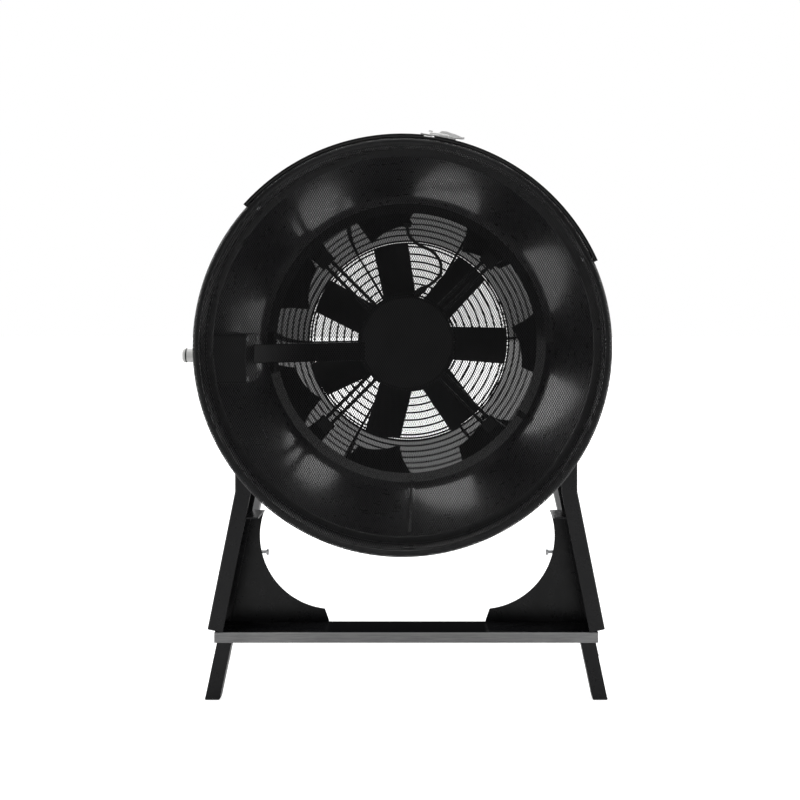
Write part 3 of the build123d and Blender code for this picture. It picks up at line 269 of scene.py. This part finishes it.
def tray_paint(name):
    """Black powder coat with a streaky painted grey highlight on the lip and a painted highlight along the
    fold, glossy in patches near its ends.
    """
    made, tree, shader = new_material(name)
    at = place(tree)
    x, y, z = split_place(tree, at)
    lip = remap(tree, y, *(POST_LOW.y + depth for depth in LIP_DEPTH), 0.0, 1.0)
    # streaky painted highlight on the lip, mixed in front of the post's front face
    streaks = noise(tree, scaled(tree, at, (30.0, 30.0, 420.0)), 1.0, 4.0, 0.6)
    lip_highlight = mix_colour(tree, remap(tree, streaks, 0.3, 0.75, 0.0, 1.0), *TRAY_LIP_HIGHLIGHT)
    # mask of the painted highlight along the top fold
    fold = remap(tree, z, *(TRAY_HIGH.z - depth for depth in FOLD_DEPTH), 0.0, 1.0)
    shade = mix_colour(tree, lip, TRAY_BLACK, mix_colour(tree, fold, lip_highlight, TRAY_FOLD_HIGHLIGHT))
    fine = noise(tree, at, 420.0, 2.0)
    dust = noise(tree, at, 38.0, 6.0, 0.7)
    rough = remap(tree, dust, 0.3, 0.75, 0.16, 0.3)
    finish(tree, shader, shade, rough, bump(tree, fine, 0.00002, under=rounded(tree, TRAY_BEVEL_R)))
    ends = remap(tree, math_node(tree, "ABSOLUTE", x), *TRAY_ENDS, 0.0, 1.0)
    blotch = noise(tree, scaled(tree, at, (1.0, 2.5, 1.0)), 14.0, 3.0)
    shine = math_node(tree, "MULTIPLY", ends, remap(tree, blotch, 0.4, 0.5, 0.0, 1.0))
    tree.links.new(shine, shader.inputs["Coat Weight"])
    shader.inputs["Coat Roughness"].default_value = 0.12
    shader.inputs["Specular IOR Level"].default_value = 0.0
    return made


MATERIALS = {
    "black_paint": painted("black_powder_coat", (0.010, 0.010, 0.011), (0.014, 0.014, 0.015), 0.24),
    "cone_enamel": enamel("cone_enamel", 0.3, 1.0, 0.13),
    "duct_enamel": enamel("duct_enamel", 0.15, 1.0, 0.05, THROAT_Y),
    "tray_paint": tray_paint("tray_powder_coat"),
    # light grey weld: a painted highlight standing in for the glints along the cone's seam
    "weld_painted_highlight": painted("weld_highlight_grey", (0.16, 0.16, 0.162), (0.3, 0.3, 0.302), 0.3, 0.00005),
    "stand_paint": painted("stand_powder_coat", (0.009, 0.009, 0.010), (0.013, 0.013, 0.014), 0.3, 0.00004),
    "grey_paint": painted("grey_powder_coat", (0.28, 0.28, 0.285), (0.33, 0.33, 0.335), 0.36),
    "black_net": plastic(
        "coated_net", (0.004, 0.004, 0.0045), (0.008, 0.008, 0.009), 0.4, 2600.0, 0.00006, 0.25
    ),
    "black_rubber": plastic("black_rubber_skin", (0.012, 0.012, 0.012), (0.018, 0.018, 0.018), 0.55),
    "zinc_steel": metal("zinc_plate", (0.66, 0.67, 0.69), (0.76, 0.77, 0.78), 0.32, share=0.7),
    "polished_steel": metal("bright_steel", (0.90, 0.90, 0.89), (0.95, 0.95, 0.94), 0.3, share=0.3),
    "black_plastic": plastic("black_moulding", (0.013, 0.013, 0.014), (0.019, 0.019, 0.02), 0.42),
    "pale_plastic": plastic("pale_moulding", (0.88, 0.88, 0.86), (0.93, 0.93, 0.91), 0.38),
    "motor_casting": painted("black_motor_enamel", (0.022, 0.022, 0.023), (0.03, 0.03, 0.031), 0.5, 0.00006),
    "blade_coat": painted("black_blade_coat", (0.005, 0.005, 0.0055), (0.008, 0.008, 0.009), 0.42),
    "bare_steel": metal("bare_turned_steel", (0.46, 0.45, 0.44), (0.55, 0.54, 0.52), 0.34),
}


# Nodes whose paint differs from the rest of their slot.
OWN_FINISH = {
    "front_cone": "cone_enamel",
    "rear_duct": "duct_enamel",
    "tray": "tray_paint",
    "left_post": "stand_paint",
    "right_post": "stand_paint",
    "front_legs": "stand_paint",
    "gussets": "stand_paint",
}


def finish_cad_nodes():
    """Every CAD node takes the material of its slot, or its own."""
    for part in frame["record"]["subparts"]:
        data = NODES[part["node"]].data
        data.materials.clear()
        data.materials.append(MATERIALS[OWN_FINISH.get(part["node"], part["material_slot"])])


# ---- pieces made here ----
def new_piece(name, points, faces, smooth=True):
    """An object from points and faces, linked to the scene."""
    mesh = bpy.data.meshes.new(name)
    mesh.from_pydata([tuple(p) for p in points], [], faces)
    for face in mesh.polygons:
        face.use_smooth = smooth
    mesh.update()
    made = bpy.data.objects.new(name, mesh)
    bpy.context.scene.collection.objects.link(made)
    return made


def wrapped(u, v):
    """A point of the flat net, u right and v up from its middle, put over the mouth and its rim."""
    s = np.hypot(u, v)
    turn = np.clip((s - NET_FLAT_R) / NET_TURN_R, 0, math.pi / 2)
    r = np.where(s < NET_FLAT_R, s, NET_FLAT_R + NET_TURN_R * np.sin(turn))
    y = NET_FRONT_Y + NET_TURN_R * (1 - np.cos(turn))
    y = y + np.clip(s - NET_FLAT_R - NET_TURN_R * math.pi / 2, 0, None)
    share = r / np.maximum(s, 1e-9)
    return np.stack([u * share, y, AXIS_Z + v * share], axis=-1)


def net_mesh():
    """Vertical zigzag strands that touch their neighbours at every turn, as in a knitted screen."""
    step = CELL_H / 2
    columns = int(NET_CUT_R / (CELL_W / 2)) + 1
    rows = int(NET_CUT_R / step) + 1
    points, faces = [], []
    index = 0
    for c in range(-columns, columns + 1):
        u0 = c * CELL_W / 2
        half = NET_CUT_R ** 2 - u0 ** 2
        if half <= 0:
            continue
        top = int(math.sqrt(half) / step)
        if top < 1:
            continue
        r = np.arange(-top, top + 1)
        side = np.where((r + c) % 2 == 0, 1.0, -1.0)
        u = u0 + side * (CELL_W / 4 - STRAND * 0.25)
        v = r * step
        gathered = np.clip((np.hypot(u, v) - NET_FLAT_R) / GATHER_RUN + 1, 0, 1)
        width = STRAND / 2 * math.hypot(CELL_W / 2, step) / step * (1 + GATHER * gathered)
        left = np.stack([u - width, v], axis=-1)
        right = np.stack([u + width, v], axis=-1)
        pair = np.stack([left, right], axis=1).reshape(-1, 2)
        points.append(pair)
        n = len(r)
        a = index + 2 * np.arange(n - 1)
        faces.append(np.stack([a, a + 1, a + 3, a + 2], axis=-1))
        index += 2 * n
    return np.concatenate(points), np.concatenate(faces)


def add_net():
    flat, quads = net_mesh()
    net = new_piece("mouth_net", wrapped(flat[:, 0], flat[:, 1]), quads.tolist())
    net.data.materials.append(MATERIALS["black_net"])
    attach(net, "drum")
    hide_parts("front_net", "net_skirt")


def band(name, angles, radii, y_range, steps=90):
    """A strip bent round the fan axis, with its four long edges rounded by a narrow chamfer."""
    (r0, r1), (y0, y1) = radii, y_range
    c = LINER_EDGE
    section = [
        (r0, y0 + c), (r0 + c, y0), (r1 - c, y0), (r1, y0 + c),
        (r1, y1 - c), (r1 - c, y1), (r0 + c, y1), (r0, y1 - c),
    ]
    points, faces = [], []
    for i in range(steps + 1):
        angle = math.radians(angles[0] + (angles[1] - angles[0]) * i / steps)
        points += [(r * math.cos(angle), y, AXIS_Z + r * math.sin(angle)) for r, y in section]
    n = len(section)
    for i in range(steps):
        for k in range(n):
            m = (k + 1) % n
            faces.append((i * n + k, i * n + m, (i + 1) * n + m, (i + 1) * n + k))
    faces.append(tuple(range(n)))
    faces.append(tuple(steps * n + k for k in reversed(range(n))))
    return new_piece(name, points, faces, smooth=False)


def add_liners():
    for name, angles in LINERS.items():
        liner = band(name, angles, LINER_R, LINER_Y)
        liner.data.materials.append(MATERIALS["black_rubber"])
        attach(liner, "drum")


def ring(name, at, across, along, radius, wire, around, sides=10):
    """A round wire bent to a ring about the axis `along` through `at`, starting from `across`."""
    third = along.cross(across)
    points, faces = [], []
    for i in range(around):
        turn = math.tau * i / around
        out = across * math.cos(turn) + third * math.sin(turn)
        for k in range(sides):
            roll = math.tau * k / sides
            points.append(at + out * (radius + wire * math.cos(roll)) + along * (wire * math.sin(roll)))
            n, m = (i + 1) % around, (k + 1) % sides
            faces.append((i * sides + k, i * sides + m, n * sides + m, n * sides + k))
    return new_piece(name, points, faces)


def add_edge_wire():
    at = Vector((0, EDGE_WIRE_Y, AXIS_Z))
    wire = ring("guard_edge_wire", at, Vector((1, 0, 0)), Vector((0, 1, 0)), EDGE_WIRE_R, EDGE_WIRE_T, 180)
    wire.data.materials.append(MATERIALS["black_paint"])
    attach(wire, "drum")


def add_gland_seal():
    seal = ring("gland_seal_ring", SEAL_AT, Vector((0, 1, 0)), Vector((1, 0, 0)), SEAL_R, SEAL_WIRE, 64)
    seal.data.materials.append(MATERIALS["black_rubber"])
    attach(seal, "drum")


def add_seam_weld():
    """Low ripple of weld metal, painted over, along the edge of the lap inside the cone; its light grey
    colour is a painted highlight for the glints along the seam.
    """
    outward = Vector((math.cos(SEAM_TURN), 0, math.sin(SEAM_TURN)))
    sideways = Vector((-math.sin(SEAM_TURN), 0, math.cos(SEAM_TURN)))
    stops = [Vector((0, y, AXIS_Z)) + outward * r for r, y in SEAM_LINE]
    line = []
    for start, end in zip(stops, stops[1:]):
        count = int((end - start).length / WELD_STEP)
        line += [start.lerp(end, i / count) for i in range(count)]
    points, faces = [], []
    for i, at in enumerate(line):
        rise = WELD_RISE * (1.0 + WELD_RIPPLE * math.sin(i * math.tau / WELD_PERIOD))
        for k in range(WELD_SIDES + 1):
            turn = math.pi * k / WELD_SIDES
            across = sideways * (WELD_HALF * math.cos(turn))
            points.append(at + across - outward * (rise * math.sin(turn) + WELD_LIFT))
    row = WELD_SIDES + 1
    for i in range(len(line) - 1):
        for k in range(WELD_SIDES):
            a = i * row + k
            faces.append((a, a + 1, a + row + 1, a + row))
    weld = new_piece("seam_weld", points, faces)
    # light grey colour: painted highlight of the seam
    weld.data.materials.append(MATERIALS["weld_painted_highlight"])
    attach(weld, "drum")


# ---- floor, camera and light ----
def add_floor():
    corners = [(x * FLOOR_HALF, y * FLOOR_HALF, 0) for x, y in ((-1, -1), (1, -1), (1, 1), (-1, 1))]
    floor = new_piece("studio_floor", corners, [(0, 1, 2, 3)], smooth=False)
    made, tree, shader = new_material("pale_floor")
    shader.inputs["Base Color"].default_value = (0.9, 0.9, 0.9, 1)
    shader.inputs["Roughness"].default_value = 0.8
    shader.inputs["Specular IOR Level"].default_value = 0.0
    shader.inputs["Emission Color"].default_value = (1, 1, 1, 1)
    distance = tree.nodes.new("ShaderNodeVectorMath")
    distance.operation = "LENGTH"
    tree.links.new(place(tree), distance.inputs[0])
    glow = remap(tree, distance.outputs["Value"], *FLOOR_FADE, *FLOOR_GLOW)
    camera_ray = tree.nodes.new("ShaderNodeLightPath").outputs["Is Camera Ray"]
    tree.links.new(math_node(tree, "MULTIPLY", camera_ray, glow), shader.inputs["Emission Strength"])
    floor.data.materials.append(made)


def add_world():
    """White all round to the eye; as a light it is bright behind and above, and dim in front."""
    world = bpy.data.worlds.new("studio")
    bpy.context.scene.world = world
    world.use_nodes = True
    tree = world.node_tree
    tree.nodes.clear()
    out = tree.nodes.new("ShaderNodeOutputWorld")
    direction = tree.nodes.new("ShaderNodeTexCoord").outputs["Generated"]
    light = tree.nodes.new("ShaderNodeBackground")
    strength = remap(tree, split_place(tree, direction)["Y"], *WORLD_TURN, WORLD_FRONT, WORLD_BACK)
    tree.links.new(strength, light.inputs["Strength"])
    seen = tree.nodes.new("ShaderNodeBackground")
    seen.inputs["Strength"].default_value = 1.0
    seen.inputs["Color"].default_value = (1, 1, 1, 1)
    path = tree.nodes.new("ShaderNodeLightPath")
    both = tree.nodes.new("ShaderNodeMixShader")
    tree.links.new(path.outputs["Is Camera Ray"], both.inputs[0])
    tree.links.new(light.outputs[0], both.inputs[1])
    tree.links.new(seen.outputs[0], both.inputs[2])
    tree.links.new(both.outputs[0], out.inputs["Surface"])


def add_light(name, place_at, aim, size, power):
    data = bpy.data.lights.new(name, "AREA")
    data.shape = "RECTANGLE"
    data.size, data.size_y = size
    data.energy = power
    lamp = bpy.data.objects.new(name, data)
    lamp.location = place_at
    lamp.rotation_mode = "QUATERNION"
    lamp.rotation_quaternion = (Vector(aim) - Vector(place_at)).to_track_quat("-Z", "Y")
    bpy.context.scene.collection.objects.link(lamp)


def add_lights():
    add_light("top_soft_light", (0.0, -0.2, 3.2), (0, 0, 0.5), (2.6, 2.0), 34)
    add_light("front_fill_light", (0.0, -3.6, 2.2), (0, 0, 0.4), (3.0, 1.2), 10)
    for side, name in ((-1, "left_strip_light"), (1, "right_strip_light")):
        add_light(name, (side * 2.3, -0.9, 0.9), (0, 0, 0.5), (0.5, 1.8), 9)


def add_camera():
    data = bpy.data.cameras.new("photo_camera")
    data.sensor_width = 36.0
    data.lens = 55.9
    data.shift_x = -0.0448
    data.shift_y = -0.1088
    camera = bpy.data.objects.new("photo_camera", data)
    camera.location = (0.0486, -2.060, 0.635)
    camera.rotation_euler = (math.radians(90), 0, 0)
    bpy.context.scene.collection.objects.link(camera)
    bpy.context.scene.camera = camera
    bpy.context.scene.view_settings.view_transform = "Standard"
    bpy.context.scene.view_settings.look = "None"


finish_cad_nodes()
add_net()
add_liners()
add_edge_wire()
add_gland_seal()
add_seam_weld()
add_floor()
add_world()
add_lights()
add_camera()
